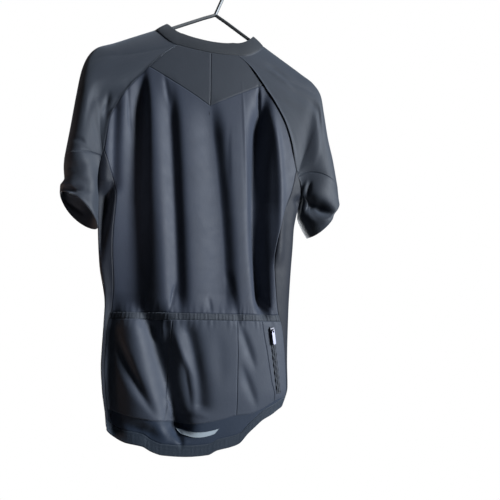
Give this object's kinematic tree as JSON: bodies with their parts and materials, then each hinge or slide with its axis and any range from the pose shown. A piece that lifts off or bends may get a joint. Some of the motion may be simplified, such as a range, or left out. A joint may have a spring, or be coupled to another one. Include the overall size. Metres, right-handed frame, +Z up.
{
  "type": "cycling jersey on a hanger",
  "caption": "Short-sleeved raglan cycling jersey on a bent-tube hanger, with a V yoke, back pockets, a zipped side pocket, a stand collar and a dropped tail.",
  "frame": {"origin": "inner top of the hanger's hook, where it rests on a rail", "axes": "+Z up, +Y out of the garment's back, +X to the wearer's left"},
  "size_m": [0.5023, 0.0856, 0.8672],
  "materials": {
    "knit": "fine knitted polyester, matt with a slight sheen",
    "tail_knit": "smooth blue-black knit",
    "rib": "ribbed elastic knit",
    "reflective_film": "plain silver reflective film",
    "zip_tape": "woven tape with moulded teeth",
    "slider_metal": "dark satin metal",
    "pull_metal": "satin metal",
    "hanger_coating": "grey satin coating"
  },
  "bodies": {
    "garment": {"hanger": "hanger_coating", "back_panel": "knit", "back_lower_panel": "tail_knit", "yoke_left": "knit", "yoke_right": "knit", "side_panel_left": "knit", "side_panel_right": "knit", "front_left": "knit", "front_right": "knit", "sleeve_left": "knit", "sleeve_right": "knit", "sleeve_band_left": "knit", "sleeve_band_right": "knit", "collar": "knit", "pocket_left": "knit", "pocket_centre": "knit", "pocket_right": "knit", "pocket_elastic": "rib", "zip_pocket_panel": "knit", "zip_pocket_tape": "zip_tape", "zip_pocket_slider": "slider_metal", "front_zip_tape": "zip_tape", "front_zip_slider": "slider_metal", "hem_band_back": "rib", "hem_band_front_left": "rib", "hem_band_front_right": "rib", "reflective_tab": "reflective_film"},
    "zip_pocket_pull": {"zip_pocket_pull": "pull_metal"},
    "front_zip_pull": {"front_zip_pull": "pull_metal"}
  },
  "joints": [
    {"name": "zip_pocket_pull_hinge", "type": "hinge", "parent": "garment", "child": "zip_pocket_pull", "pos_m": [-0.10717, 0.0369, -0.66306], "axis": [0.9621, 0.2293, -0.1479], "range_deg": [0, 150]},
    {"name": "front_zip_pull_hinge", "type": "hinge", "parent": "garment", "child": "front_zip_pull", "pos_m": [0.013, -0.03595, -0.19181], "axis": [-1, 0, 0], "range_deg": [0, 150]}
  ]
}
